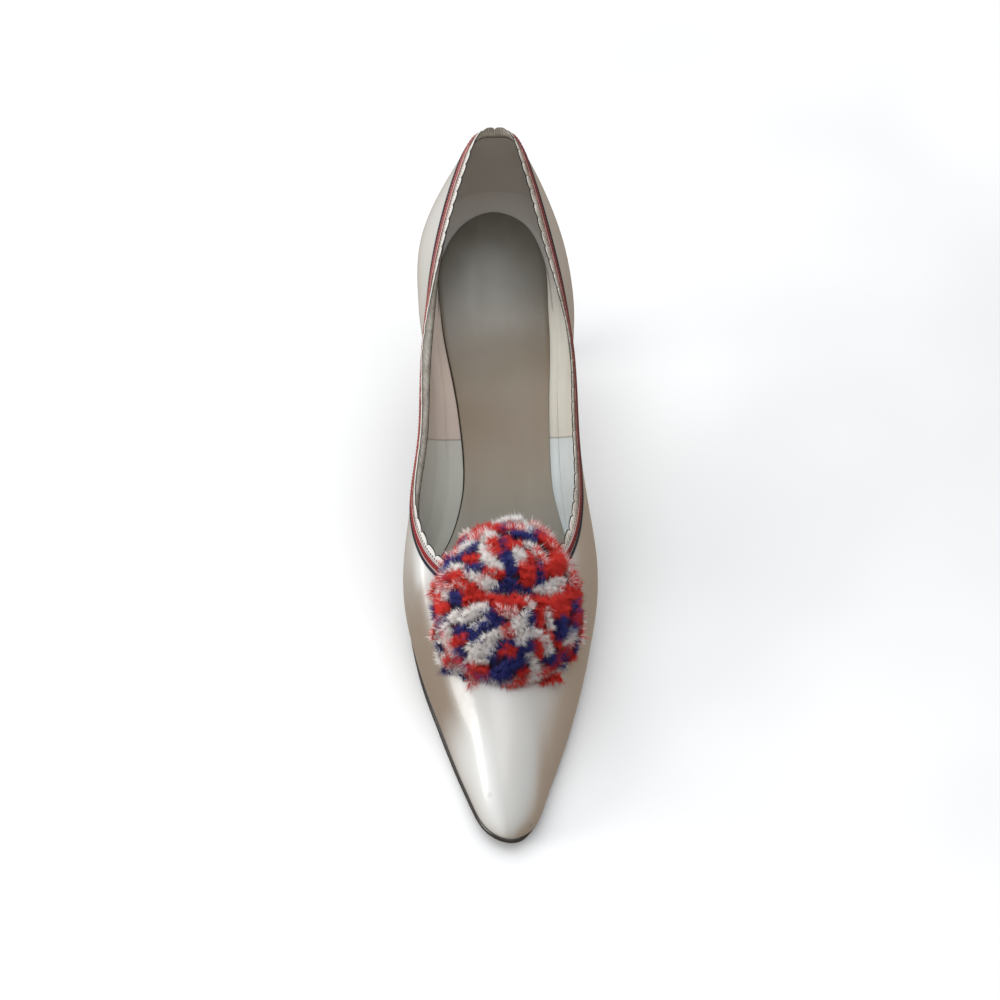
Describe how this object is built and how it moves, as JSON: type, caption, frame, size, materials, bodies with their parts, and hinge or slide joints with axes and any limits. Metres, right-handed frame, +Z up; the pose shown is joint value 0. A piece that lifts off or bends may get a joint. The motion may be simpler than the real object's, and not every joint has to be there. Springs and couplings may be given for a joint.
{
  "type": "pom pom heel",
  "caption": "Pearly leather pump with a pointed toe, slim high heel, scalloped topline, red and navy ribbon, and a red, white and navy fringed pompom on the throat.",
  "frame": {"origin": "middle of the heel tip's face on the floor", "axes": "+Z up, toe towards -Y, outer side of the left foot towards +X"},
  "size_m": [0.0774, 0.2433, 0.138],
  "materials": {
    "pearl_leather": "smooth pearly white leather with a soft gloss",
    "trim_leather": "matt white leather, scalloped and pricked",
    "red_ribbon": "woven red ribbon",
    "navy_ribbon": "woven navy ribbon",
    "sole_leather": "black polished sole edge",
    "lining_leather": "grey beige lining leather",
    "sock_leather": "grey beige sock with a satin sheen",
    "tip_rubber": "matt black heel tip",
    "pompom_fringe": "cut fringe in red, white and royal blue"
  },
  "bodies": {
    "root": {"upper": "pearl_leather", "edging": "trim_leather", "ribbon_red": "red_ribbon", "ribbon_navy": "navy_ribbon", "outsole": "sole_leather", "insole": "lining_leather", "sock": "sock_leather", "heel": "pearl_leather", "top_piece": "tip_rubber", "pompom": "pompom_fringe"}
  },
  "joints": []
}
